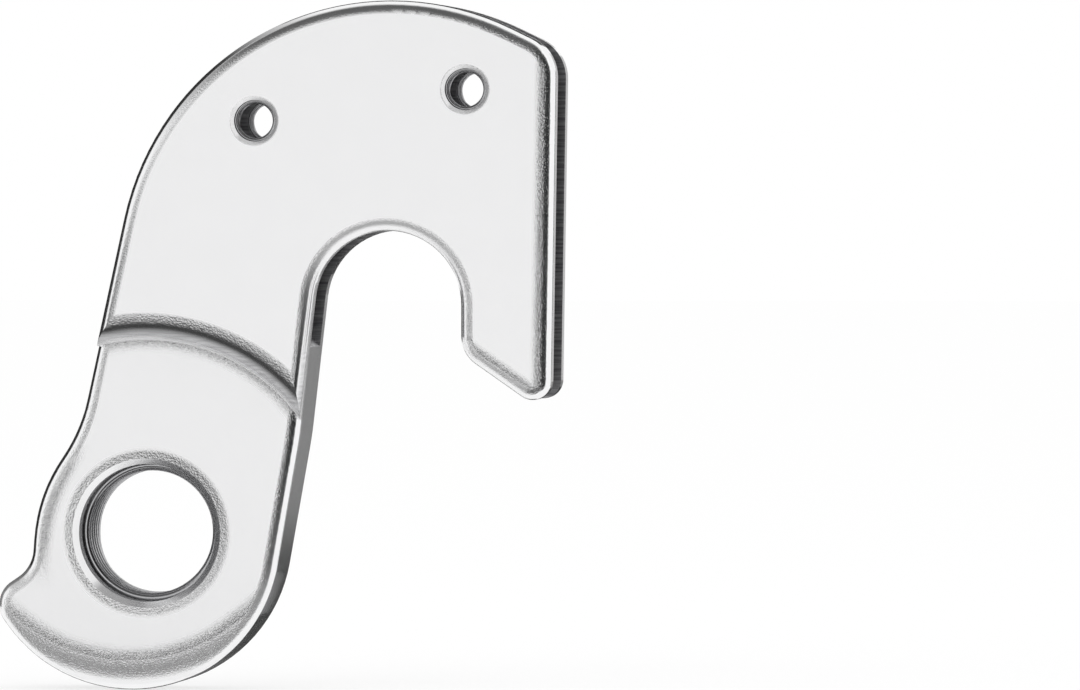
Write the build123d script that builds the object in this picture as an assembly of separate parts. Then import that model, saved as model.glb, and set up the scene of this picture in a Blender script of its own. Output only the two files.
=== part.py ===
from build123d import *
from math import acos, asin, atan2, cos, degrees, radians, sin, tan
import os

# Bicycle derailleur hanger for the drive side, one piece of metal, milled and tapped.
# Millimetres. X runs towards the front of the bicycle, Z is up, the outer face looks along -Y.
# The origin is on the axis of the derailleur thread, halfway through the leg.

# Thicknesses, counted inwards from the outer face
cheek_outer = 1.95         # outer cheek of the fork that grips the frame plate
fork_gap = 4.8             # milled gap for the frame plate
cheek_inner = 1.85         # inner cheek
step_drop = 1.1            # how far the leg's outer face lies below the outer cheek's face

# Derailleur eye at the bottom of the leg
thread_radius = 5.0        # M10 x 1, wall at the thread's root
thread_chamfer = 0.42      # 45 degree lead-in at both mouths
thread_lip = 0.85          # soft ring round the outer mouth
eye_centre = (-1.31, -0.43)
eye_radius = 10.99         # the rounded foot of the leg
crown_width = 2.5          # how far the foot's soft outer edge reaches in at the lowest point
crown_fade = 1.0           # it runs out this many degrees below the leg's front side
crown_radius = 2.8
step_radius = 14.0         # the step is an arc about the derailleur thread
step_round = 2.5           # its soft upper edge

# Stop tab at the rear of the eye
tab_under_angle = 216.5    # where the tab's underside leaves the foot
tab_top_angle = 33.6
tab_root_angle = 199.0     # where the tab's top side leaves the eye
tab_root_depth = 2.25      # how far inside the foot's circle that is
tab_round = 2.0
notch_round = 2.5

# Rear of the eye, above the tab
lobe_depth = 3.95          # how far inside the foot's circle it lies
lobe_angle = 86.2
lobe_round = 13.8

# Leg between the eye and the axle slot
waist_point = (-6.42, 5.2)
waist_angle = 55.3
waist_round = 14.3
flank_point = (-4.78, 8.0)  # the rear flank runs from here up to the hump
leg_lean = 6.6             # upper front side of the leg, from the vertical
leg_bend_height = 7.0      # where the front side turns to run down to the foot
leg_bend_round = 30.0

# Axle slot and the hump over it
axle_centre = (17.69, 16.53)
axle_radius = 5.38
hump_centre = (17.99, 18.54)
hump_radius = 19.98
shoulder_angle = 64.0      # where the hump runs out at the front
shoulder_round = 3.1
front_edge_x = 29.75       # front edge, at the height of the hump's centre
front_edge_lean = 0.9
prong_point = (25.69, 11.2)
prong_angle = 145.15
prong_round = 1.38
prong_inner_round = 2.43

# Floor of the fork gap, a straight cut across the plate
floor_point = (11.94, 13.46)
floor_angle = 129.7

# Frame screws, M3 through both cheeks
screw_holes = [(8.11, 29.85), (23.45, 32.1)]
screw_radius = 1.5
screw_sink = 0.24          # 45 degree countersink at the outer mouth
screw_lip = 0.13           # soft ring round it
screw_break = 0.06         # edge break at the inner mouth

# Edges
outer_round = 1.0          # rounding along the outer face
inner_break = 0.55         # 45 degree edge break along the inner face
lip_slope = 10.0           # fall of the soft ring round a mouth, in degrees

fork_thickness = cheek_outer + fork_gap + cheek_inner
leg_thickness = fork_thickness - step_drop
leg_face = -leg_thickness / 2
inner_face = leg_thickness / 2
fork_face = leg_face - step_drop


def tangent_side(centre, radius, angle):
    """A straight side that touches a circle at the given angle."""
    a = radians(angle)
    touch = Vector(centre[0] + radius * cos(a), centre[1] + radius * sin(a))
    return touch, Vector(-sin(a), cos(a))


def plain_side(point, angle):
    """A straight side through a point at the given angle."""
    return Vector(*point), Vector(cos(radians(angle)), sin(radians(angle)))


def side_to_circle(point, centre, radius, hand):
    """A straight side from a point to a circle that it touches on its left (-1) or right (1)."""
    to_centre = Vector(*centre) - Vector(*point)
    turn = asin(radius / to_centre.length)
    angle = atan2(to_centre.Y, to_centre.X) - hand * turn
    return plain_side(point, degrees(angle))


def meet(side_a, side_b):
    """The point where two straight sides cross."""
    (pa, da), (pb, db) = side_a, side_b
    gap = pb - pa
    t = (gap.X * db.Y - gap.Y * db.X) / (da.X * db.Y - da.Y * db.X)
    return pa + da * t


def half_angle(before, corner, after):
    """Half the angle between the two sides that leave a corner."""
    return radians((before - corner).get_angle(after - corner)) / 2


def rounded_outline(corners):
    """Closed face from (corner, radius) pairs, with tangent arcs at the corners.

    A side too short for the arcs at its two ends shares its length between them.
    """
    points = [c for c, r in corners]
    n = len(corners)
    halves = [half_angle(points[i - 1], points[i], points[(i + 1) % n]) for i in range(n)]
    wanted = [corners[i][1] / tan(halves[i]) for i in range(n)]
    sides = [(points[(i + 1) % n] - points[i]).length for i in range(n)]
    share = [min(1, sides[i] / (wanted[i] + wanted[(i + 1) % n])) for i in range(n)]
    reach = [wanted[i] * min(share[i - 1], share[i]) for i in range(n)]
    starts, middles, ends = [], [], []
    for i in range(n):
        back = (points[i - 1] - points[i]).normalized()
        ahead = (points[(i + 1) % n] - points[i]).normalized()
        radius = reach[i] * tan(halves[i])
        inward = radius / sin(halves[i]) - radius
        starts.append(points[i] + back * reach[i])
        middles.append(points[i] + (back + ahead).normalized() * inward)
        ends.append(points[i] + ahead * reach[i])
    edges = []
    for i in range(n):
        joined = (starts[i] - ends[i - 1]).length < 1e-3
        edges.append(ThreePointArc(ends[i - 1] if joined else starts[i], middles[i], ends[i]))
        if (starts[(i + 1) % n] - ends[i]).length >= 1e-3:
            edges.append(Line(ends[i], starts[(i + 1) % n]))
    return make_face(edges)


# Outline of the plate, side by side, clockwise from the rear flank
rear_flank = side_to_circle(flank_point, hump_centre, hump_radius, -1)
shoulder = tangent_side(hump_centre, hump_radius, shoulder_angle)
front_edge = plain_side((front_edge_x, hump_centre[1]), 90 - front_edge_lean)
prong_under = plain_side(prong_point, prong_angle)
slot_front = tangent_side(axle_centre, axle_radius, 0)
slot_top = tangent_side(axle_centre, axle_radius, 90)
leg_upper = tangent_side(axle_centre, axle_radius, 180 - leg_lean)
leg_bend = meet(leg_upper, plain_side((0, leg_bend_height), 0))
leg_lower = side_to_circle((leg_bend.X, leg_bend.Y), eye_centre, eye_radius, -1)
tab_under = tangent_side(eye_centre, eye_radius, tab_under_angle)
tab_root = tangent_side(eye_centre, eye_radius - tab_root_depth, tab_root_angle)[0]
tab_top = plain_side((tab_root.X, tab_root.Y), tab_top_angle)
lobe_side = plain_side((eye_centre[0] - eye_radius + lobe_depth, eye_centre[1]), lobe_angle)
waist_side = plain_side(waist_point, waist_angle)

outline = rounded_outline([
    (meet(rear_flank, shoulder), hump_radius),
    (meet(shoulder, front_edge), shoulder_round),
    (meet(front_edge, prong_under), prong_round),
    (meet(prong_under, slot_front), prong_inner_round),
    (meet(slot_front, slot_top), axle_radius),
    (meet(slot_top, leg_upper), axle_radius),
    (leg_bend, leg_bend_round),
    (meet(leg_lower, tab_under), eye_radius),
    (meet(tab_under, tab_top), tab_round),
    (meet(tab_top, lobe_side), notch_round),
    (meet(lobe_side, waist_side), lobe_round),
    (meet(waist_side, rear_flank), waist_round),
])


def standing(depth):
    """Drawing plane at a depth, seen from outside: X to the right, Z up."""
    return Plane(origin=(0, depth, 0), x_dir=(1, 0, 0), z_dir=(0, -1, 0))


def turned(profile, x, z):
    """Solid turned about an axis along Y; the profile is (radius, depth)."""
    about = Plane(origin=(x, 0, z), x_dir=(1, 0, 0), z_dir=(0, 0, 1))
    return revolve(about * profile, Axis((x, 0, z), (0, 1, 0)))


# Plate: the whole outline at the leg's thickness
plate = extrude(standing(inner_face) * outline, amount=leg_thickness)

# The foot's outer edge falls away in a wide curve that fades out up both sides,
# so it is turned about a point above the eye's own centre
crown_end = 180 + degrees(atan2(leg_lower[1].Y, leg_lower[1].X)) - crown_fade
crown_share = crown_width / eye_radius
crown_rise = crown_width * (1 - crown_share / 2) / (1 - crown_share - cos(radians(crown_end)))
crown_start = crown_rise + eye_radius - crown_width
crown_arc = CenterArc((crown_start, leg_face + crown_radius), crown_radius, -90, 80)
crown_out = (crown_arc @ 1).X
crown_profile = make_face([
    crown_arc,
    Polyline(crown_arc @ 1, (crown_out, leg_face - 1), (crown_start, leg_face - 1), crown_arc @ 0),
])
crown = turned(crown_profile, eye_centre[0], eye_centre[1] + crown_rise)
below_eye = Location((eye_centre[0], 0, eye_centre[1] - 2 * eye_radius)) * Box(
    6 * eye_radius, 4 * leg_thickness, 4 * eye_radius
)
plate -= crown & below_eye


def rim(solid, near, far):
    """Edges of a solid whose middles lie between two depths."""
    return [e for e in solid.edges() if near < e.center().Y < far]


def is_foot_line(edge):
    """The smooth line where the foot's wide curve leaves the leg's face."""
    return edge.geom_type == GeomType.CIRCLE and abs(edge.radius - crown_start) < 1e-4


plate = chamfer(rim(plate, inner_face - 0.01, inner_face + 0.01), inner_break)
leg_rim = rim(plate, leg_face - 0.01, leg_face + leg_thickness / 4)
plate = fillet([e for e in leg_rim if not is_foot_line(e)], outer_round)

# Fork head: the same outline raised to the outer cheek's face, stepped about the thread
head_depth = leg_face + outer_round * 2
head = extrude(standing(head_depth) * outline, amount=head_depth - fork_face)
head = fillet(rim(head, fork_face - 0.01, fork_face + 0.01), outer_round)
step_turn = degrees(acos(1 - step_drop / step_round))
step_out = step_radius + step_round * sin(radians(step_turn))
step_arc = CenterArc((step_out, fork_face + step_round), step_round, 270 - step_turn, step_turn)
step_profile = make_face([
    step_arc,
    Polyline(
        step_arc @ 1, (step_out, fork_face - 1), (0, fork_face - 1),
        (0, head_depth), (step_radius, head_depth), step_arc @ 0,
    ),
])
head -= turned(step_profile, 0, 0)
hanger = plate + head

# Gap of the fork, milled straight in from the hump, the front edge and the axle slot
floor_start, floor_way = plain_side(floor_point, floor_angle)
floor_square = Vector(floor_way.Y, -floor_way.X)
reach = 4 * hump_radius
gap_face = make_face(Polyline(
    floor_start - floor_way * reach,
    floor_start + floor_way * reach,
    floor_start + floor_way * reach + floor_square * reach,
    floor_start - floor_way * reach + floor_square * reach,
    close=True,
))
hanger -= extrude(standing(fork_face + cheek_outer + fork_gap) * gap_face, amount=fork_gap)


def drilled(x, z, radius, mouth, far, lead_in, lip, far_break):
    """A through hole along Y: a lead-in and a soft ring at the outer mouth, a break at the far one."""
    fall = lip * tan(radians(lip_slope))
    profile = make_face(Polyline(
        (0, mouth - 1), (radius + lead_in + lip, mouth - 1), (radius + lead_in + lip, mouth),
        (radius + lead_in, mouth + fall), (radius, mouth + fall + lead_in),
        (radius, far - far_break), (radius + far_break, far), (radius + far_break, far + 1), (0, far + 1),
        close=True,
    ))
    return turned(profile, x, z)


# Derailleur thread and frame screws
hanger -= drilled(0, 0, thread_radius, leg_face, inner_face, thread_chamfer, thread_lip, thread_chamfer)
for x, z in screw_holes:
    hanger -= drilled(x, z, screw_radius, fork_face, inner_face, screw_sink, screw_lip, screw_break)

os.makedirs("parts", exist_ok=True)
export_step(hanger, "parts/hanger.step")
print(f"hanger {hanger.volume:.0f} mm3, {len(hanger.solids())} solid")
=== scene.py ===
# %% [markdown]
# # A derailleur hanger, dressed in Blender
# The hanger is one small piece of aluminium that bolts to the frame's dropout and carries the rear
# derailleur. Its form is already exact: it comes from CAD and is loaded here as a fixed frame.
# This lesson adds what a CAD solid leaves out, which is the cut threads, the finish of the metal
# and a studio whose dark and pale cards draw the edges of a bright part on a white ground.

# %% Load the hanger
import math
import bmesh
import bpy
from mathutils import Matrix, Vector


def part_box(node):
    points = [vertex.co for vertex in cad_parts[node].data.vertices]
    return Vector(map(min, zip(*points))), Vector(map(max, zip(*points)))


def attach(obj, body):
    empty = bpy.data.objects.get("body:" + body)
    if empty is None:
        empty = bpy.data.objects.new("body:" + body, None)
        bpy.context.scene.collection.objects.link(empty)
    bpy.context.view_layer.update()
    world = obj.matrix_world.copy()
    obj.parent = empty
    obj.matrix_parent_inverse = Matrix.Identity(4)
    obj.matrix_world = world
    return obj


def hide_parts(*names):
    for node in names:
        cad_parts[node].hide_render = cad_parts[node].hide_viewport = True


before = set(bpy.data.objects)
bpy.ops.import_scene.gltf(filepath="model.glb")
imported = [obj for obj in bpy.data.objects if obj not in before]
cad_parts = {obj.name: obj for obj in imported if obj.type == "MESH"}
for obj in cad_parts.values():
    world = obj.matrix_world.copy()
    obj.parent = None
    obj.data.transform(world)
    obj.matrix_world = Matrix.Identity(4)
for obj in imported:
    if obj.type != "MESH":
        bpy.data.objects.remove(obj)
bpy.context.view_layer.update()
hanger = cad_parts["hanger"]
MM = 0.001
low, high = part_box("hanger")
print("hanger, mm:", [round((b - a) / MM, 2) for a, b in zip(low, high)])

# %% [markdown]
# ## The sizes that the looks share
# A thread or a finish has to sit where the solid is, so the few places that matter are named once.
# Y runs through the plate, and the outer faces of leg and fork lie on its negative side. The fork's
# two cheeks stand on either side of a milled gap, whose floor is a straight cut that climbs to the
# rear. The step between leg and fork is an arc about the large thread. The flat of the fork ends at
# the rounded front edge, which leans a little, and at the bevel of the tip. The flat of the leg ends
# at the wide crowned edge of the foot and at the lobe behind the eye. Angles turn from front to up.

# %% Places on the hanger, in millimetres
LEG_FACE = -3.75
FORK_FACE = -4.85
INNER_FACE = 3.75
GAP_NEAR = -2.9
GAP_FAR = 1.9
FLOOR_POINT = Vector((11.94, 13.46))
FLOOR_ANGLE = math.radians(129.7)
STEP_RADIUS = 14.0
FRONT_FLAT = 28.46
FRONT_LEAN = math.tan(math.radians(0.9))
BEVEL_POINT = Vector((25.69, 11.2))
BEVEL_ANGLE = math.radians(145.15)
EDGE_ROUND = 1.0
EYE_CENTRE = Vector((-1.31, -0.43))
CROWN_CENTRE = Vector((-1.31, 3.39))
CROWN_START = 12.31
LOBE_CENTRE = Vector((5.38, -2.0))
LOBE_FLAT = 12.8
SLOT_CENTRE = Vector((17.69, 16.53))
M10_AXIS = Vector((0, 0))
M10_ROOT, M10_PITCH, M10_DEPTH = 5.0, 1.0, 0.541
M3_ROOT, M3_PITCH, M3_DEPTH = 1.5, 0.5, 0.25
SCREW_HOLES = {"rear": Vector((8.11, 29.85)), "front": Vector((23.45, 32.1))}
print("gap between the cheeks:", round(GAP_FAR - GAP_NEAR, 2), "mm")


# %% [markdown]
# ## Grain as a node group
# Tumbled and polished aluminium is never a perfect mirror: it keeps a very fine grain that shows as
# sparkle wherever a reflection changes from bright to dark. An image texture could carry it, but
# noise in Object coordinates costs nothing, has no seams and stays put on the part. The group is
# built once, and each finish places it with its own grain size. Three helpers come first, because
# every node tree below needs named sockets and sums.

# %% Sockets and sums
def socket(group, name, way, kind, value=None):
    """One named socket on a node group."""
    made = group.interface.new_socket(name=name, in_out=way, socket_type=kind)
    if value is not None:
        made.default_value = value
    return made


def math_node(tree, operation, *operands):
    """A Math node; each operand is a socket or a number."""
    node = tree.nodes.new("ShaderNodeMath")
    node.operation = operation
    for place, operand in zip(node.inputs, operands):
        if isinstance(operand, (int, float)):
            place.default_value = operand
        else:
            tree.links.new(operand, place)
    return node.outputs[0]


def chain(tree, operation, first, *others):
    """The same sum over several operands, one after another."""
    for other in others:
        first = math_node(tree, operation, first, other)
    return first


# %% The grain group
GRAIN_DETAIL = 3.0
SLOW_PER_METRE = 420.0
NOISE_MIDDLE = 0.5


def make_grain_group():
    """Grain: a bump height from fine noise, and a slow change of roughness."""
    group = bpy.data.node_groups.new("metal_grain", "ShaderNodeTree")
    socket(group, "Grain per metre", "INPUT", "NodeSocketFloat", 5000.0)
    socket(group, "Roughness", "INPUT", "NodeSocketFloat", 0.2)
    socket(group, "Spread", "INPUT", "NodeSocketFloat", 0.05)
    socket(group, "Height", "OUTPUT", "NodeSocketFloat")
    socket(group, "Roughness", "OUTPUT", "NodeSocketFloat")
    nodes, links = group.nodes, group.links
    given = nodes.new("NodeGroupInput")
    put_out = nodes.new("NodeGroupOutput")
    place = nodes.new("ShaderNodeTexCoord")
    fine = nodes.new("ShaderNodeTexNoise")
    slow = nodes.new("ShaderNodeTexNoise")
    for noise in (fine, slow):
        noise.inputs["Detail"].default_value = GRAIN_DETAIL
        links.new(place.outputs["Object"], noise.inputs["Vector"])
    links.new(given.outputs["Grain per metre"], fine.inputs["Scale"])
    slow.inputs["Scale"].default_value = SLOW_PER_METRE
    change = math_node(group, "SUBTRACT", slow.outputs[0], NOISE_MIDDLE)
    varied = math_node(
        group, "MULTIPLY_ADD", change, given.outputs["Spread"], given.outputs["Roughness"]
    )
    links.new(fine.outputs[0], put_out.inputs["Height"])
    links.new(varied, put_out.inputs["Roughness"])
    return group


grain_group = make_grain_group()
print("group:", grain_group.name)


# %% [markdown]
# ## The finish of the hanger
# The broad faces are satin and even, the rounded edges are tumbled bright and keep some grain, and
# the gap and the bores keep fine cutter marks, in a colour darkened as painted shade. Several
# materials would need hard borders between them. One material with masks blends the finishes, and
# the masks are numbers kept on the mesh: satin, grain, and one for the cutter marks with their
# painted shade. These helpers each add one thing to a material.

# %% Helpers for a material
MIX_COLOURS_IN, MIX_COLOUR_OUT = (6, 7), 2


def mix_colours(tree, amount, *colours):
    """A Mix node for two colours; each is a socket or a value."""
    node = tree.nodes.new("ShaderNodeMix")
    node.data_type = "RGBA"
    tree.links.new(amount, node.inputs[0])
    for i, colour in zip(MIX_COLOURS_IN, colours):
        if isinstance(colour, tuple):
            node.inputs[i].default_value = colour
        else:
            tree.links.new(colour, node.inputs[i])
    return node.outputs[MIX_COLOUR_OUT]


def mask(tree, name):
    """A number kept on the mesh."""
    node = tree.nodes.new("ShaderNodeAttribute")
    node.attribute_name = name
    return node.outputs["Fac"]


def ramp(tree, value, zero_at, one_at):
    """Zero at one value, one at the other, and straight between them."""
    node = tree.nodes.new("ShaderNodeMapRange")
    node.inputs["From Min"].default_value = zero_at
    node.inputs["From Max"].default_value = one_at
    tree.links.new(value, node.inputs["Value"])
    return node.outputs[0]


def new_metal(name):
    """A metal material, its node tree and its Principled shader."""
    material = bpy.data.materials.new(name)
    material.use_nodes = True
    shader = material.node_tree.nodes["Principled BSDF"]
    shader.inputs["Metallic"].default_value = 1.0
    return material, material.node_tree, shader


def add_grain(tree, per_metre, roughness, spread):
    """Places the grain group in a material and sets its sizes."""
    grain = tree.nodes.new("ShaderNodeGroup")
    grain.node_tree = grain_group
    grain.inputs["Grain per metre"].default_value = per_metre
    grain.inputs["Roughness"].default_value = roughness
    grain.inputs["Spread"].default_value = spread
    return grain


def add_bump(tree, shader, height, distance):
    """Raises the surface of a material by a height, in metres at full height."""
    bump = tree.nodes.new("ShaderNodeBump")
    bump.inputs["Strength"].default_value = 1.0
    bump.inputs["Distance"].default_value = distance
    tree.links.new(height, bump.inputs["Height"])
    tree.links.new(bump.outputs["Normal"], shader.inputs["Normal"])


# %% [markdown]
# ## Cutter marks and painted shade
# The walls of the gap show the way the milling cutter ran, as long thin marks, some dark and some
# pale. Both colours are much darker than the polished metal, and that darkness is painted shade in
# the gap and the holes. An image could hold the marks, but noise that is squeezed across the marks
# and stretched along them gives such lines without a seam, and a Mapping node turns them the right way.

# %% Colours and marks of a cut wall, darkened as painted shade
# Painted shade: both cut colours are much darker than the polished metal, to darken the gap and the
# holes.
CUT_DARK_WITH_PAINTED_SHADE = (0.24, 0.24, 0.25, 1.0)
CUT_PALE_WITH_PAINTED_SHADE = (0.50, 0.50, 0.51, 1.0)
MARK_ANGLE = math.radians(57)
MARKS_PER_METRE = (300, 1000, 6500)
MARK_DETAIL = 2.0
MARK_CONTRAST = (0.36, 0.64)


def cutter_marks_with_painted_shade(tree):
    """The colour of a cut wall: long thin marks from noise that is stretched along one way, darkened as
    painted shade.
    """
    place = tree.nodes.new("ShaderNodeTexCoord")
    turn = tree.nodes.new("ShaderNodeMapping")
    turn.inputs["Rotation"].default_value = (0, MARK_ANGLE, 0)
    turn.inputs["Scale"].default_value = MARKS_PER_METRE
    marks = tree.nodes.new("ShaderNodeTexNoise")
    marks.inputs["Scale"].default_value = 1.0
    marks.inputs["Detail"].default_value = MARK_DETAIL
    tree.links.new(place.outputs["Object"], turn.inputs["Vector"])
    tree.links.new(turn.outputs[0], marks.inputs["Vector"])
    return mix_colours(tree, ramp(tree, marks.outputs[0], *MARK_CONTRAST), CUT_DARK_WITH_PAINTED_SHADE, CUT_PALE_WITH_PAINTED_SHADE)


# %% [markdown]
# ## Grain that spills onto the flats
# The stones of a drum also wear the rim of a flat face. Beside a rounded edge the grain runs on for
# a fraction of a millimetre, so the edge looks wider and softer than it was cut. Such bands could be
# painted, but each keeps its distance from a line or an arc of the solid, so a few sums on the
# Object coordinates say where it lies: below the step, along the front edge and the bevel of the
# tip, round the foot and along the lobe. Each band is a product of ramps, and it fades at its ends.

# %% Worn bands, in millimetres
ON_FACE = 0.02
STEP_BAND = (STEP_RADIUS - 0.95, STEP_RADIUS - 0.1)
FRONT_BAND = (FRONT_FLAT - 0.55, FRONT_FLAT)
TIP_BAND = (EDGE_ROUND + 0.5, EDGE_ROUND)
TIP_END = (22.5, 24)
FOOT_BAND = (CROWN_START - 0.9, CROWN_START)
FOOT_END = (-2, -6)
LOBE_BAND = (LOBE_FLAT - 0.6, LOBE_FLAT)
LOBE_FRONT, LOBE_TOP, LOBE_BASE = (-3, -5), (7, 4.5), (-4.4, -0.4)


def place_in_mm(tree):
    """The three Object coordinates, in millimetres."""
    place = tree.nodes.new("ShaderNodeTexCoord")
    scaled = tree.nodes.new("ShaderNodeVectorMath")
    scaled.operation = "SCALE"
    scaled.inputs["Scale"].default_value = 1 / MM
    split = tree.nodes.new("ShaderNodeSeparateXYZ")
    tree.links.new(place.outputs["Object"], scaled.inputs[0])
    tree.links.new(scaled.outputs[0], split.inputs[0])
    return split.outputs


def distance_from(tree, x, z, centre):
    """How far a point lies from an axis along Y."""
    across = math_node(tree, "SUBTRACT", x, centre.x)
    above = math_node(tree, "SUBTRACT", z, centre.y)
    square = math_node(tree, "MULTIPLY", across, across)
    return math_node(tree, "SQRT", math_node(tree, "MULTIPLY_ADD", above, above, square))


def worn_bands(tree):
    """One where grain spills from a rounding onto a flat face, zero elsewhere."""
    x, y, z = place_in_mm(tree)
    on_leg = math_node(tree, "COMPARE", y, LEG_FACE, ON_FACE)
    on_fork = math_node(tree, "COMPARE", y, FORK_FACE, ON_FACE)
    radius = distance_from(tree, x, z, M10_AXIS)
    below = math_node(tree, "LESS_THAN", radius, STEP_RADIUS)
    forward = math_node(tree, "MULTIPLY_ADD", z, -FRONT_LEAN, x)
    inward = Vector((math.sin(BEVEL_ANGLE), -math.cos(BEVEL_ANGLE)))
    ahead = math_node(tree, "MULTIPLY_ADD", x, inward.x, -inward.dot(BEVEL_POINT))
    inside = math_node(tree, "MULTIPLY_ADD", z, inward.y, ahead)
    from_crown = distance_from(tree, x, z, CROWN_CENTRE)
    from_lobe = distance_from(tree, x, z, LOBE_CENTRE)
    bands = {
        "step": (on_leg, below, ramp(tree, radius, *STEP_BAND)),
        "front": (on_fork, ramp(tree, forward, *FRONT_BAND)),
        "tip": (on_fork, ramp(tree, inside, *TIP_BAND), ramp(tree, x, *TIP_END)),
        "foot": (on_leg, ramp(tree, from_crown, *FOOT_BAND), ramp(tree, z, *FOOT_END)),
        "lobe": (
            on_leg, ramp(tree, from_lobe, *LOBE_BAND), ramp(tree, x, *LOBE_FRONT),
            ramp(tree, z, *LOBE_TOP), ramp(tree, z, *LOBE_BASE),
        ),
    }
    return chain(tree, "MAXIMUM", *(chain(tree, "MULTIPLY", *factors) for factors in bands.values()))


# %% [markdown]
# ## The two metals
# The skin's metal brings the finishes together. Satin takes away part of the mirror, so that the
# face scatters light and looks even. A worn band loses its satin, gets more grain and sinks a little
# towards its edge, as a rubbed rim does. Cut walls take the colour of the cutter marks, darkened as
# painted shade. The threads have a plain grey metal of their own, because a tap leaves a finish that
# no drum reaches, and its grey is darker too, as painted shade inside the bore.

# %% Tumbled aluminium
POLISHED = (0.915, 0.915, 0.92, 1.0)
SATIN_METALLIC = 0.4
DULL_ROUGHNESS = 0.18
GRAIN_LEVEL = 0.65
WORN_GRAIN = 1.5
WORN_SINK = 0.3
RELIEF = 0.055

polished, tree, shader = new_metal("tumbled_aluminium")
worn, cut_and_painted_shade = worn_bands(tree), mask(tree, "cut_and_painted_shade")
satin = math_node(tree, "MULTIPLY", mask(tree, "satin"), math_node(tree, "SUBTRACT", 1, worn))
grain = add_grain(tree, per_metre=7500.0, roughness=0.14, spread=0.06)
grained = math_node(tree, "MAXIMUM", mask(tree, "grain"), math_node(tree, "MULTIPLY", worn, WORN_GRAIN))
bumps = math_node(tree, "SUBTRACT", grain.outputs["Height"], GRAIN_LEVEL)
height = math_node(tree, "MULTIPLY_ADD", worn, -WORN_SINK, math_node(tree, "MULTIPLY", bumps, grained))
add_bump(tree, shader, height, RELIEF * MM)
# The cut mask brings in the cutter marks and their painted shade.
tree.links.new(mix_colours(tree, cut_and_painted_shade, POLISHED, cutter_marks_with_painted_shade(tree)), shader.inputs["Base Color"])
metallic = math_node(tree, "MULTIPLY_ADD", satin, SATIN_METALLIC - 1, 1)
tree.links.new(metallic, shader.inputs["Metallic"])
dull = math_node(tree, "MAXIMUM", satin, cut_and_painted_shade)
roughness = math_node(tree, "MULTIPLY_ADD", dull, DULL_ROUGHNESS, grain.outputs["Roughness"])
tree.links.new(roughness, shader.inputs["Roughness"])
print("finish:", polished.name, "with", len(tree.nodes), "nodes")

# %% Cut aluminium of the threads, its grey darkened as painted shade
# Painted shade: the thread grey is darker than the polished metal, for the inside of the bore.
THREAD_GREY_WITH_PAINTED_SHADE = (0.52, 0.52, 0.53, 1.0)

thread_metal_with_painted_shade, tree, shader = new_metal("cut_aluminium_with_painted_shade")
shader.inputs["Base Color"].default_value = THREAD_GREY_WITH_PAINTED_SHADE
grain = add_grain(tree, per_metre=6500.0, roughness=0.18, spread=0.08)
tree.links.new(grain.outputs["Roughness"], shader.inputs["Roughness"])
print("finish:", thread_metal_with_painted_shade.name, "with", len(tree.nodes), "nodes")


# %% [markdown]
# ## A smooth skin on the solid
# Polished metal shows every fault of a normal as a false gradient. The solid comes as triangles
# whose normals are averaged wherever two faces meet softly, so a flat face would look bent near its
# rounded edges. A copy with its points merged keeps the form exactly and gets better normals: flat
# fields stay flat up to their borders, roundings run into them, and sharp corners stay sharp.

# %% Flat fields and soft corners
SHARP = math.radians(28)
SAME_PLANE = math.cos(math.radians(0.2))
FLAT_FIELD = 12 * MM * MM
SAME_POINT = 0.0001 * MM


def flat_fields(work):
    """The normal of the large flat field that each face belongs to, by face index."""
    found, seen = {}, set()
    for first in work.faces:
        if first.index in seen:
            continue
        seen.add(first.index)
        field, waiting = [], [first]
        while waiting:
            face = waiting.pop()
            field.append(face)
            for other in (f for e in face.edges for f in e.link_faces):
                if other.index not in seen and other.normal.dot(first.normal) > SAME_PLANE:
                    seen.add(other.index)
                    waiting.append(other)
        if sum(f.calc_area() for f in field) > FLAT_FIELD:
            found.update((f.index, first.normal.copy()) for f in field)
    return found


def soft_groups(point):
    """The faces round a point, grouped where they meet without a sharp edge."""
    left = list(point.link_faces)
    while left:
        group, waiting = [], [left.pop()]
        while waiting:
            face = waiting.pop()
            group.append(face)
            soft = [e for e in face.edges if point in e.verts and e.calc_face_angle(0) < SHARP]
            for other in (f for e in soft for f in e.link_faces):
                if other in left:
                    left.remove(other)
                    waiting.append(other)
        yield group


def corner_normals(work, flat):
    """One normal for each corner of each face: the flat field's, or the mean round the point."""
    normals = {}
    for point in work.verts:
        share = {loop.face: loop.calc_angle() for loop in point.link_loops}
        for group in soft_groups(point):
            on_flat = [flat[f.index] for f in group if f.index in flat]
            total = sum(on_flat or [f.normal * share[f] for f in group], Vector())
            for face in group:
                normals[face.index, point.index] = total.normalized()
    return normals


# %% Normals of the skin
work = bmesh.new()
work.from_mesh(hanger.data)
bmesh.ops.remove_doubles(work, verts=work.verts, dist=SAME_POINT)
for sequence in (work.verts, work.faces):
    sequence.index_update()
    sequence.ensure_lookup_table()
flat = flat_fields(work)
normals = corner_normals(work, flat)
print("skin:", len(work.verts), "points,", len(work.faces), "faces,", len(flat), "of them flat")


# %% [markdown]
# ## Where each finish lies
# A tumbling drum works on edges first, so an edge that turns away from a broad face is bright, while
# the broad faces stay satin. Stones reach into a corner less well, so the foot of the step, the rims
# of the screw holes and the top of the axle slot keep some of that satin, and so do the bevel of the
# tip and the wide soft edge of the foot. Grain is strongest where an edge has only begun to turn.
# The walls of the gap and the bores get the cutter marks, darkened as painted shade, and so does a band
# of the step. Each corner of each face gets its three numbers here. Painting them by hand would be
# quicker once, but this follows the solid.

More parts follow.
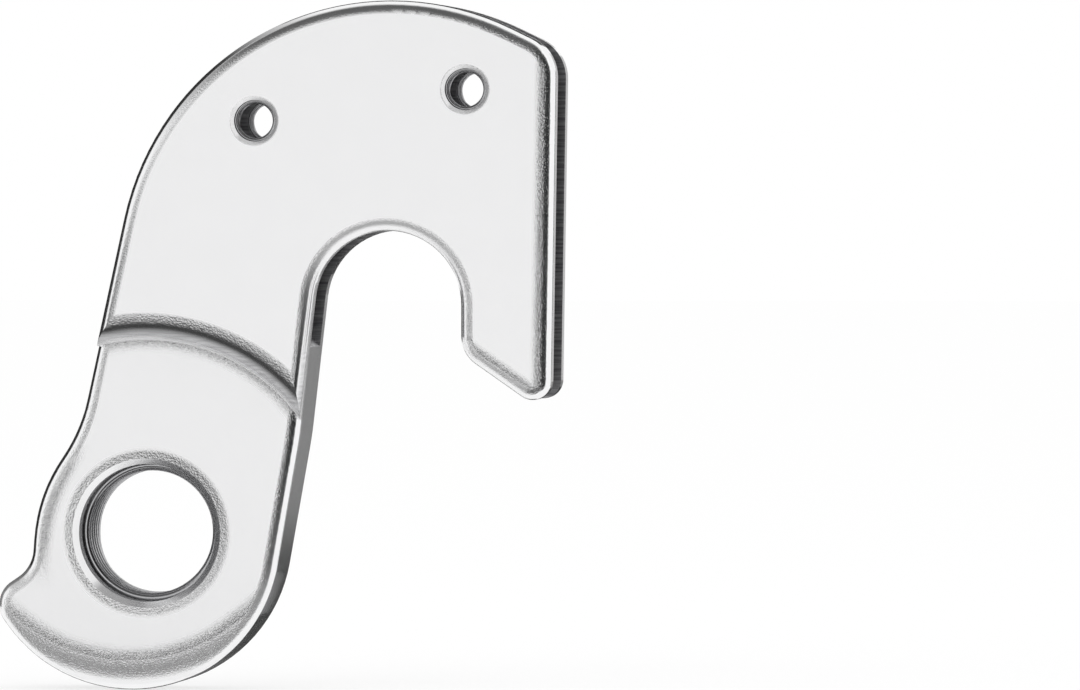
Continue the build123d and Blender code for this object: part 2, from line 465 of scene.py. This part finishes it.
# %% Places of the finishes, in millimetres
SLACK = 0.01
OUTER_SIDE = LEG_FACE + 1
STEP_BASE = 5
STEP_RING = (STEP_RADIUS - 0.1, STEP_RADIUS + 2.2)
STEP_FOOT_RING = (STEP_RADIUS - 0.1, STEP_RADIUS + 1)
GAP_WAY = Vector((math.sin(FLOOR_ANGLE), -math.cos(FLOOR_ANGLE)))


def between(value, zero_at, one_at):
    """Zero at one value, one at the other, and straight between them."""
    return max(0.0, min(1.0, (value - zero_at) / (one_at - zero_at)))


def on_step(x, y, z, ring=STEP_RING):
    """The rounded step between fork and leg, or a ring of it."""
    return y < LEG_FACE + ON_FACE and z > STEP_BASE and ring[0] < math.hypot(x, z) < ring[1]


def at_screw(here, rim=0.0):
    """In a screw hole, or within a rim round it."""
    return any((here - hole).length < M3_ROOT + rim for hole in SCREW_HOLES.values())


# %% Cut walls, with painted shade
# Painted shade: the gap and the screw holes take the dark cut colours in full, the bore in part.
BORE_CUT_AND_PAINTED_SHADE = 0.4
# Painted shade: a band of the step, fading at both ends, takes some of the dark cut colours.
STEP_CUT_AND_PAINTED_SHADE = 0.7
STEP_PAINTED_SHADE_TOP = (FORK_FACE + 0.2, FORK_FACE + 0.5)
STEP_PAINTED_SHADE_BASE = (LEG_FACE - 0.1, LEG_FACE - 0.35)


def cut_and_painted_shade_share(face):
    """How much of the cutter marks and their painted shade a face gets: all in gap and screw holes,
    some in the bore.
    """
    x, y, z = face.calc_center_median() / MM
    here = Vector((x, z))
    above_floor = (here - FLOOR_POINT).dot(GAP_WAY) > -SLACK
    in_gap = above_floor and GAP_NEAR - SLACK < y < GAP_FAR + SLACK
    if in_gap or at_screw(here):
        return 1.0
    return BORE_CUT_AND_PAINTED_SHADE if here.length < M10_ROOT else 0.0


def step_cut_and_painted_shade(x, y, z):
    """The lower half of the step gets some of the darker cut colours, as painted shade."""
    if not on_step(x, y, z):
        return 0.0
    return STEP_CUT_AND_PAINTED_SHADE * min(between(y, *STEP_PAINTED_SHADE_TOP), between(y, *STEP_PAINTED_SHADE_BASE))


# %% Satin in the corners
BEVEL_X, BEVEL_Z, BEVEL_SATIN = (22.5, 28), (9, 14), 0.5
SCREW_RIM, SCREW_SATIN = 0.45, 0.35
STEP_SATIN, STEP_SATIN_FADE = 0.9, (LEG_FACE - 0.45, LEG_FACE - 0.1)
EYE_RIM, FOOT_SATIN, FOOT_FADE = 7.5, 0.35, (-1, -4)
SLOT_RIM, SLOT_SATIN, SLOT_FADE = 7, 0.6, (SLOT_CENTRE.y - 0.5, SLOT_CENTRE.y + 4)


def part_satin(x, y, z):
    """Some satin where stones reach less well: bevel, screw rims, foot of the step, foot, slot."""
    here = Vector((x, z))
    if y > OUTER_SIDE:
        return 0.0
    if BEVEL_X[0] < x < BEVEL_X[1] and BEVEL_Z[0] < z < BEVEL_Z[1]:
        return BEVEL_SATIN
    if at_screw(here, SCREW_RIM):
        return SCREW_SATIN
    if on_step(x, y, z, STEP_FOOT_RING):
        return STEP_SATIN * between(y, *STEP_SATIN_FADE)
    if z < FOOT_FADE[0] and (here - EYE_CENTRE).length > EYE_RIM:
        return FOOT_SATIN * between(z, *FOOT_FADE)
    if (here - SLOT_CENTRE).length < SLOT_RIM:
        return SLOT_SATIN * between(z, *SLOT_FADE)
    return 0.0


# %% Grain on the edges, by their tilt in degrees
GRAIN_FADE = (45, 20)
STEP_GRAIN_FADE = (26, 12)
RING_WIDTH, RING_GRAIN = 1.3, 0.8
HUMP_FRONT, HUMP_BASE, HUMP_LOSS = (26, 20), (18, 24), 0.65


def edge_grain(x, y, z, tilt):
    """Grain fades as an edge turns away, sooner on the step, and is weaker on hump and soft ring."""
    if on_step(x, y, z):
        return between(tilt, *STEP_GRAIN_FADE)
    on_hump = between(x, *HUMP_FRONT) * between(z, *HUMP_BASE)
    on_ring = math.hypot(x, z) < M10_ROOT + RING_WIDTH
    share = RING_GRAIN if on_ring else 1 - HUMP_LOSS * on_hump
    return share * between(tilt, *GRAIN_FADE)


# %% The skin with its masks
BROAD = 0.99
FLAT_TILT = 1


def corner_masks(face, point):
    """Satin, grain, and the cutter marks with painted shade, for one corner of a face."""
    cut_and_painted_shade = cut_and_painted_shade_share(face)
    if cut_and_painted_shade:
        return 0.0, 0.0, cut_and_painted_shade
    here = point.co / MM
    tilt = math.degrees(math.acos(min(1, abs(normals[face.index, point.index].y))))
    fields = [flat[f.index] for f in point.link_faces if f.index in flat]
    broad = any(abs(normal.y) > BROAD for normal in fields)
    satin = 1.0 if broad and tilt < FLAT_TILT else part_satin(*here)
    grain = 0.0 if fields else edge_grain(*here, tilt)
    return satin, grain, step_cut_and_painted_shade(*here)


skin_mesh = bpy.data.meshes.new("hanger_skin")
skin_mesh.from_pydata([v.co for v in work.verts], [], [[v.index for v in f.verts] for f in work.faces])
skin_mesh.materials.append(polished)
skin_mesh.polygons.foreach_set("use_smooth", [True] * len(skin_mesh.polygons))
corners = [(face, work.verts[skin_mesh.loops[i].vertex_index])
           for face, polygon in zip(work.faces, skin_mesh.polygons) for i in polygon.loop_indices]
skin_mesh.normals_split_custom_set([normals[face.index, point.index] for face, point in corners])
masks = [corner_masks(face, point) for face, point in corners]
for i, name in enumerate(("satin", "grain", "cut_and_painted_shade")):
    values = [m[i] for m in masks]
    skin_mesh.attributes.new(name, "FLOAT", "CORNER").data.foreach_set("value", values)
    print(name, "on", round(100 * sum(v > 0 for v in values) / len(values)), "% of the corners")
work.free()
skin = bpy.data.objects.new("hanger_skin", skin_mesh)
bpy.context.scene.collection.objects.link(skin)
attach(skin, "root")
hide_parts("hanger")


# %% [markdown]
# ## Threads by Geometry Nodes
# The solid's holes have the thread's root radius, and the ridge between the roots is added here.
# A helix could be drawn point by point, but a node tree says what a thread is: a spiral with a
# pitch, swept by a small V that points inwards, thin where the tap runs in and out. The same tree
# makes the large derailleur thread and the small frame-screw threads, with other values. The V is
# that of a metric thread, with a crest a quarter of the pitch wide, and it is sunk into the wall by
# a hair, so that no gap shows.

# %% The V and its run-in
ROOT_HALF, CREST_HALF = 7 / 16, 1 / 8
SUNK = 0.06
THINNEST = 0.05


def combine(tree, x=None, y=None, z=None):
    """A point from up to three sockets."""
    node = tree.nodes.new("ShaderNodeCombineXYZ")
    for place, operand in zip(node.inputs, (x, y, z)):
        if operand is not None:
            tree.links.new(operand, place)
    return node.outputs[0]


def thread_profile(tree, pitch, depth):
    """The V of the thread: x points to the axis and y runs along it."""
    root = math_node(tree, "MULTIPLY", pitch, ROOT_HALF)
    crest = math_node(tree, "MULTIPLY", pitch, CREST_HALF)
    sunk = math_node(tree, "MULTIPLY", depth, -SUNK)
    ridge = tree.nodes.new("GeometryNodeCurvePrimitiveQuadrilateral")
    ridge.mode = "POINTS"
    for i, (x, y) in enumerate((
        (sunk, math_node(tree, "MULTIPLY", root, -1)), (sunk, root),
        (depth, crest), (depth, math_node(tree, "MULTIPLY", crest, -1)),
    )):
        tree.links.new(combine(tree, x, y), ridge.inputs[f"Point {i + 1}"])
    return ridge.outputs[0]


def thread_growth(tree, run_in):
    """The ridge grows from almost nothing over the run-in at each end."""
    along = tree.nodes.new("GeometryNodeSplineParameter").outputs["Factor"]
    from_end = math_node(tree, "MINIMUM", along, math_node(tree, "SUBTRACT", 1, along))
    grown = math_node(tree, "MINIMUM", math_node(tree, "DIVIDE", from_end, run_in), 1)
    return math_node(tree, "MAXIMUM", grown, THINNEST)


# %% The thread tree
TURN_STEPS = 72
THREAD_SIZES = {
    "Root radius": M10_ROOT * MM, "Pitch": M10_PITCH * MM, "Depth": M10_DEPTH * MM, "Start": 0.0,
    "Turns": 5.0, "Run in": 0.06, "Centre X": 0.0, "Centre Z": 0.0,
}


def make_thread_tree():
    """A V ridge swept along a helix about Y. All sizes are inputs, in metres."""
    tree = bpy.data.node_groups.new("cut_thread", "GeometryNodeTree")
    socket(tree, "Geometry", "OUTPUT", "NodeSocketGeometry")
    inputs = {}
    for name, value in THREAD_SIZES.items():
        inputs[name] = socket(tree, name, "INPUT", "NodeSocketFloat", value).identifier
    inputs["Finish"] = socket(tree, "Finish", "INPUT", "NodeSocketMaterial").identifier
    nodes, links = tree.nodes, tree.links
    given = nodes.new("NodeGroupInput")
    put_out = nodes.new("NodeGroupOutput")
    pitch, turns = given.outputs["Pitch"], given.outputs["Turns"]
    helix = nodes.new("GeometryNodeCurveSpiral")
    helix.inputs["Resolution"].default_value = TURN_STEPS
    links.new(turns, helix.inputs["Rotations"])
    links.new(given.outputs["Root radius"], helix.inputs["Start Radius"])
    links.new(given.outputs["Root radius"], helix.inputs["End Radius"])
    links.new(math_node(tree, "MULTIPLY", pitch, turns), helix.inputs["Height"])
    upright = nodes.new("GeometryNodeSetCurveNormal")
    upright.mode = "Z_UP"
    links.new(helix.outputs[0], upright.inputs["Curve"])
    sweep = nodes.new("GeometryNodeCurveToMesh")
    sweep.inputs["Fill Caps"].default_value = True
    links.new(upright.outputs[0], sweep.inputs["Curve"])
    links.new(thread_profile(tree, pitch, given.outputs["Depth"]), sweep.inputs["Profile Curve"])
    links.new(thread_growth(tree, given.outputs["Run in"]), sweep.inputs["Scale"])

    # Lay the helix along Y and carry it to its hole
    lay = nodes.new("GeometryNodeTransform")
    lay.inputs["Rotation"].default_value = (-math.pi / 2, 0, 0)
    links.new(sweep.outputs[0], lay.inputs["Geometry"])
    move = nodes.new("GeometryNodeTransform")
    links.new(lay.outputs[0], move.inputs["Geometry"])
    hole = [given.outputs[name] for name in ("Centre X", "Start", "Centre Z")]
    links.new(combine(tree, *hole), move.inputs["Translation"])
    real = nodes.new("GeometryNodeRealizeInstances")
    coat = nodes.new("GeometryNodeSetMaterial")
    links.new(move.outputs[0], real.inputs[0])
    links.new(real.outputs[0], coat.inputs["Geometry"])
    links.new(given.outputs["Finish"], coat.inputs["Material"])
    links.new(coat.outputs[0], put_out.inputs["Geometry"])
    return tree, inputs


thread_tree, thread_inputs = make_thread_tree()
print("tree:", thread_tree.name, "with", len(thread_tree.nodes), "nodes")


# %% [markdown]
# ## Cutting the threads
# Each thread starts below the lead-in of its hole and stops before the far one. The derailleur
# thread is an M10 with a 1 mm pitch, and its first turns on the outer side are left out because the
# hole is relieved there. The frame screws are M3 with a 0.5 mm pitch, cut in one pass through both
# cheeks, so each hole has two short threads with the gap between them.

# %% One thread
RUN_IN_TURNS = 0.35


def cut_thread(name, centre, root, pitch, depth, start, end):
    """A thread ridge as a plain mesh piece, from one depth to another along Y, in millimetres."""
    mesh = bpy.data.meshes.new(name)
    piece = bpy.data.objects.new(name, mesh)
    bpy.context.scene.collection.objects.link(piece)
    cutter = piece.modifiers.new("thread", "NODES")
    cutter.node_group = thread_tree
    turns = (end - start) / pitch
    for size, value in (
        ("Root radius", root * MM), ("Pitch", pitch * MM), ("Depth", depth * MM),
        ("Start", start * MM), ("Turns", turns), ("Run in", RUN_IN_TURNS / turns),
        ("Centre X", centre.x * MM), ("Centre Z", centre.y * MM), ("Finish", thread_metal_with_painted_shade),
    ):
        cutter[thread_inputs[size]] = value
    bpy.context.view_layer.update()
    ready = piece.evaluated_get(bpy.context.evaluated_depsgraph_get())
    piece.data = bpy.data.meshes.new_from_object(ready)
    piece.modifiers.clear()
    piece.data.name = name
    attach(piece, "root")
    points = [v.co / MM for v in piece.data.vertices]
    radii = [(p.xz - centre).length for p in points]
    depths = [p.y for p in points]
    print(name, len(piece.data.polygons), "faces, radius", round(min(radii), 3), round(max(radii), 3),
          "depth", round(min(depths), 2), round(max(depths), 2))


# %% The five threads
M10_RELIEF, M10_LEAD = 2.1, 0.55
M3_LEAD, M3_MARGIN = 0.35, 0.2
CHEEKS = {
    "outer": (FORK_FACE + M3_LEAD, GAP_NEAR - M3_MARGIN),
    "inner": (GAP_FAR + M3_MARGIN, INNER_FACE - M3_MARGIN),
}

cut_thread("derailleur_thread", M10_AXIS, M10_ROOT, M10_PITCH, M10_DEPTH,
           LEG_FACE + M10_RELIEF, INNER_FACE - M10_LEAD)
for which, centre in SCREW_HOLES.items():
    for side, ends in CHEEKS.items():
        cut_thread(f"screw_thread_{side}_{which}", centre, M3_ROOT, M3_PITCH, M3_DEPTH, *ends)


# %% [markdown]
# ## The camera
# The part is seen with a long lens from a little to the front of the bicycle and almost level with
# it. The camera is placed by the angle, the distance and the point that it aims at, then moved
# sideways so that the part stands in the left half of the picture. A lens shift would do the same,
# but moving the camera keeps the other views centred.

# %% Camera
PICTURE = (1080, 690)
AZIMUTH, ELEVATION = math.radians(7.0), math.radians(0.8)
DISTANCE = 700.0
AIM = Vector((9.6, 0.0, 13.5))
AIM_PIXEL = (284.5, 346.3)
PIXELS_PER_MM = 13.76
SENSOR = 36.0
NEAREST = 10.0

level = Vector((math.sin(AZIMUTH), -math.cos(AZIMUTH), 0))
back = level * math.cos(ELEVATION) + Vector((0, 0, math.sin(ELEVATION)))
right = Vector((math.cos(AZIMUTH), math.sin(AZIMUTH), 0))
up = back.cross(right)
sideways = (PICTURE[0] / 2 - AIM_PIXEL[0]) / PIXELS_PER_MM
upwards = (AIM_PIXEL[1] - PICTURE[1] / 2) / PIXELS_PER_MM
eye = AIM + back * DISTANCE + right * sideways + up * upwards
camera = bpy.data.objects.new("camera", bpy.data.cameras.new("camera"))
camera.data.sensor_width = SENSOR
camera.data.lens = PIXELS_PER_MM * DISTANCE * SENSOR / PICTURE[0]
camera.data.clip_start = NEAREST * MM
turn = Matrix((right, up, back)).transposed()
camera.matrix_world = Matrix.Translation(eye * MM) @ turn.to_4x4()
bpy.context.scene.collection.objects.link(camera)
bpy.context.scene.camera = camera
print("camera lens", round(camera.data.lens, 1), "mm at", [round(x, 1) for x in eye])


# %% [markdown]
# ## A white room
# The ground is pure white. The world is white to the camera and in reflections, through the Light
# Path node, and a trace darker as a lamp. The floor mixes the same white with an ordinary pale
# surface, and this part keeps the soft shadow under the foot. The metal doesn't mirror the floor: it
# mirrors the white world behind it.

# %% World
WHITE = (1, 1, 1, 1)
WORLD_LIGHT = 0.98


def seen_directly(tree):
    """One where the camera, a reflection or a refraction looks, else zero."""
    path = tree.nodes.new("ShaderNodeLightPath")
    rays = [path.outputs[f"Is {kind} Ray"] for kind in ("Camera", "Glossy", "Transmission")]
    return math_node(tree, "MINIMUM", chain(tree, "ADD", *rays), 1)


world = bpy.data.worlds.new("white_room")
world.use_nodes = True
bpy.context.scene.world = world
tree = world.node_tree
ambient = tree.nodes["Background"]
ambient.inputs["Color"].default_value = WHITE
strength = math_node(tree, "MULTIPLY_ADD", seen_directly(tree), 1 - WORLD_LIGHT, WORLD_LIGHT)
tree.links.new(strength, ambient.inputs["Strength"])
print("world:", world.name)


# %% Floor
FLOOR = 3000.0
FLOOR_GLOW = 0.6


def glow_over(name, under):
    """A material with a glow over another shader, both nodes, and the socket of the glow's share."""
    material = bpy.data.materials.new(name)
    material.use_nodes = True
    tree = material.node_tree
    tree.nodes.clear()
    base = tree.nodes.new(under)
    glow = tree.nodes.new("ShaderNodeEmission")
    blend = tree.nodes.new("ShaderNodeMixShader")
    shown = tree.nodes.new("ShaderNodeOutputMaterial")
    tree.links.new(base.outputs[0], blend.inputs[1])
    tree.links.new(glow.outputs[0], blend.inputs[2])
    tree.links.new(blend.outputs[0], shown.inputs["Surface"])
    return material, base, glow, blend.inputs[0]


def stage_mesh(name, corners, faces, material):
    """A floor or card of the studio, in millimetres."""
    mesh = bpy.data.meshes.new(name)
    mesh.from_pydata([Vector(c) * MM for c in corners], [], faces)
    mesh.materials.append(material)
    card = bpy.data.objects.new(name, mesh)
    bpy.context.scene.collection.objects.link(card)
    return card


white_floor, surface, _, share = glow_over("white_floor", "ShaderNodeBsdfDiffuse")
surface.inputs["Color"].default_value = WHITE
tree = white_floor.node_tree
tree.links.new(math_node(tree, "MULTIPLY", seen_directly(tree), FLOOR_GLOW), share)
floor_z = low.z / MM
floor_corners = [(x * FLOOR, y * FLOOR, floor_z) for x, y in ((-1, -1), (1, -1), (1, 1), (-1, 1))]
floor = stage_mesh("floor", floor_corners, [(0, 1, 2, 3)], white_floor)
floor.visible_glossy = False
print("floor at", round(floor_z, 2), "mm")


# %% [markdown]
# ## Lamp and cards
# On a white ground a bright part would melt away. Studios put dark cards just outside the picture:
# each rounded edge mirrors one of them as a dark line and so keeps its outline. A card could be set
# by eye, but the law of reflection gives its place: name the way an edge faces in the picture and
# how far it has turned from the flat face, and the card stands where that edge mirrors it. Soft
# borders let the grain break up a reflection. The cards are seen only in reflections.

# %% Lamp
LAMP_PLACE = Vector((-250, -600, 500))
LAMP_SIZE = 500
LAMP_WATTS = 0.4

lamp = bpy.data.lights.new("soft_lamp", "AREA")
lamp.size = LAMP_SIZE * MM
lamp.energy = LAMP_WATTS
holder = bpy.data.objects.new("soft_lamp", lamp)
turn = (LAMP_PLACE - AIM).to_track_quat("Z", "Y").to_matrix().to_4x4()
holder.matrix_world = Matrix.Translation(LAMP_PLACE * MM) @ turn
bpy.context.scene.collection.objects.link(holder)
print("lamp:", LAMP_WATTS, "W,", LAMP_SIZE, "mm wide")

# %% Card material, with its shade and cover kept on the card's points
card_material, _, glow, share = glow_over("studio_card", "ShaderNodeBsdfTransparent")
tree = card_material.node_tree
tree.links.new(mask(tree, "shade"), glow.inputs["Strength"])
tree.links.new(mask(tree, "cover"), share)
print("card material:", card_material.name)


# %% One card
CARD_STEPS = 24


def mirrored(facing, tilt):
    """The way the camera looks after a surface that faces so in the picture and is tilted so."""
    a, t = math.radians(facing), math.radians(tilt)
    normal = Vector((math.sin(t) * math.cos(a), -math.cos(t), math.sin(t) * math.sin(a)))
    return (-back).reflect(normal)


def border(inside, soft):
    """Zero at a soft border and one further inside than its width; a hard border has no width."""
    return min(1, inside / soft) if soft else 1


def studio_card(name, distance, facings, tilts, shade, soft_ends, soft_near, soft_far):
    """A bent card; soft borders are in degrees, at both ends and on the near and far sides."""
    points, covers, faces = [], [], []
    for i in range(CARD_STEPS + 1):
        tilt = tilts[0] + (tilts[1] - tilts[0]) * i / CARD_STEPS
        for j in range(CARD_STEPS + 1):
            facing = facings[0] + (facings[1] - facings[0]) * j / CARD_STEPS
            points.append(AIM + mirrored(facing, tilt) * distance)
            covers.append(min(
                border(facing - facings[0], soft_ends[0]), border(facings[1] - facing, soft_ends[1]),
                border(tilt - tilts[0], soft_near), border(tilts[1] - tilt, soft_far),
            ))
    for i in range(CARD_STEPS):
        for j in range(CARD_STEPS):
            k = i * (CARD_STEPS + 1) + j
            faces.append((k, k + 1, k + CARD_STEPS + 2, k + CARD_STEPS + 1))
    card = stage_mesh(name, points, faces, card_material)
    for kept, values in (("cover", covers), ("shade", [shade] * len(points))):
        card.data.attributes.new(kept, "FLOAT", "POINT").data.foreach_set("value", values)
    card.visible_camera = False
    card.visible_diffuse = False
    card.visible_shadow = False


# %% The cards
# name: the way the edge faces (0 right, 90 up), its tilt, shade, soft ends, soft near and far sides
CARDS = {
    "front_edges": ((-44, 62), (8, 42), 0.03, (10, 16), 7, 2),
    "foot_and_step": ((-155, -34), (6, 40), 0.05, (12, 10), 12, 12),
    "foot_outline": ((-160, -70), (68, 90), 0.1, (10, 6), 0, 0),
    "rear_edges": ((150, 178), (5, 31), 0.4, (8, 0), 9, 12),
    "lobe_edges": ((170, 222), (3, 34), 0.12, (8, 8), 9, 12),
    "rear_outline": ((104, 190), (46, 84), 0.03, (22, 0), 0, 0),
    "hump_top": ((42, 150), (1, 49), 0.11, (12, 28), 17, 9),
    "hump_outline": ((50, 112), (68, 88), 0.05, (0, 0), 0, 0),
    "leg_line": ((-16, 14), (75, 81), 0.03, (0, 0), 0, 0),
    "leg_wall": ((-21, -4), (84, 92.5), 0.22, (0, 0), 0, 0),
    "front_wall": ((-4, 40), (84, 92.5), 0.5, (0, 0), 0, 0),
    "foot_wall": ((-85, -21), (80, 92), 0.05, (6, 0), 0, 0),
}
CARD_DISTANCE = 420.0
CARD_APART = 4
for i, (name, values) in enumerate(CARDS.items()):
    studio_card("card_" + name, CARD_DISTANCE + CARD_APART * i, *values)
print(len(CARDS), "cards:", ", ".join(CARDS))

# %% [markdown]
# ## Finish
# The picture is shown as it is measured, with the plain Standard view.

# %% The view
bpy.context.scene.view_settings.view_transform = "Standard"
